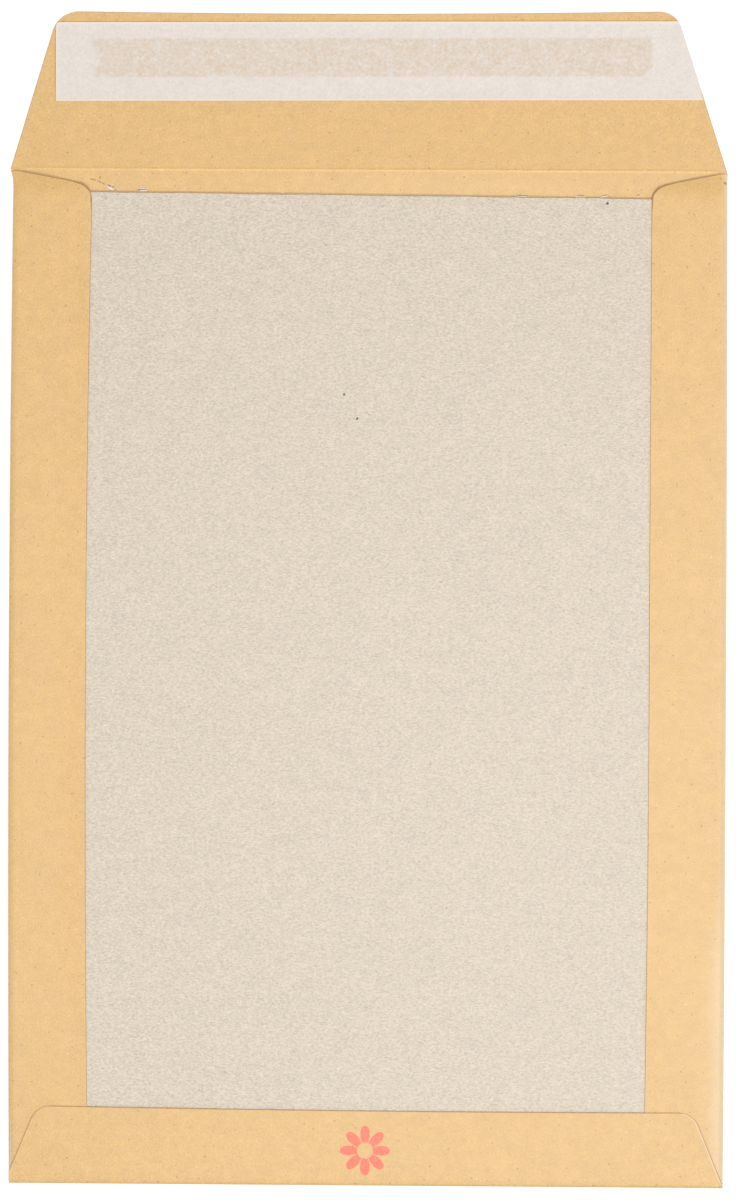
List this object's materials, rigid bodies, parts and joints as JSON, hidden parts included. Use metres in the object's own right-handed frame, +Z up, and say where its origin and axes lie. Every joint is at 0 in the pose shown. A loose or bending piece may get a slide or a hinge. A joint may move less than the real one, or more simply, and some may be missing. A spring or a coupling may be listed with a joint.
{
  "type": "board-backed envelope",
  "caption": "Flat envelope: a manila paper pocket folded and glued round a stiff grey backing board, its seal flap open and carrying an adhesive strip under a release liner.",
  "frame": {"origin": "middle of the whole outline, seal flap included, on the table under the front panel", "axes": "+Y from the bottom fold towards the seal flap, +Z up out of the board side, +X across the width"},
  "size_m": [0.229, 0.3746, 0.0019],
  "materials": {
    "manila_paper": "uncoated",
    "grey_board": "uncoated",
    "seam_gum": "dried gum",
    "seal_adhesive": "tacky",
    "liner_paper": "coated"
  },
  "bodies": {
    "root": {"envelope_paper": "manila_paper", "backing_board": "grey_board", "left_seam_gum": "seam_gum", "right_seam_gum": "seam_gum", "bottom_seam_gum": "seam_gum", "seal_adhesive": "seal_adhesive", "release_liner": "liner_paper"}
  },
  "joints": []
}
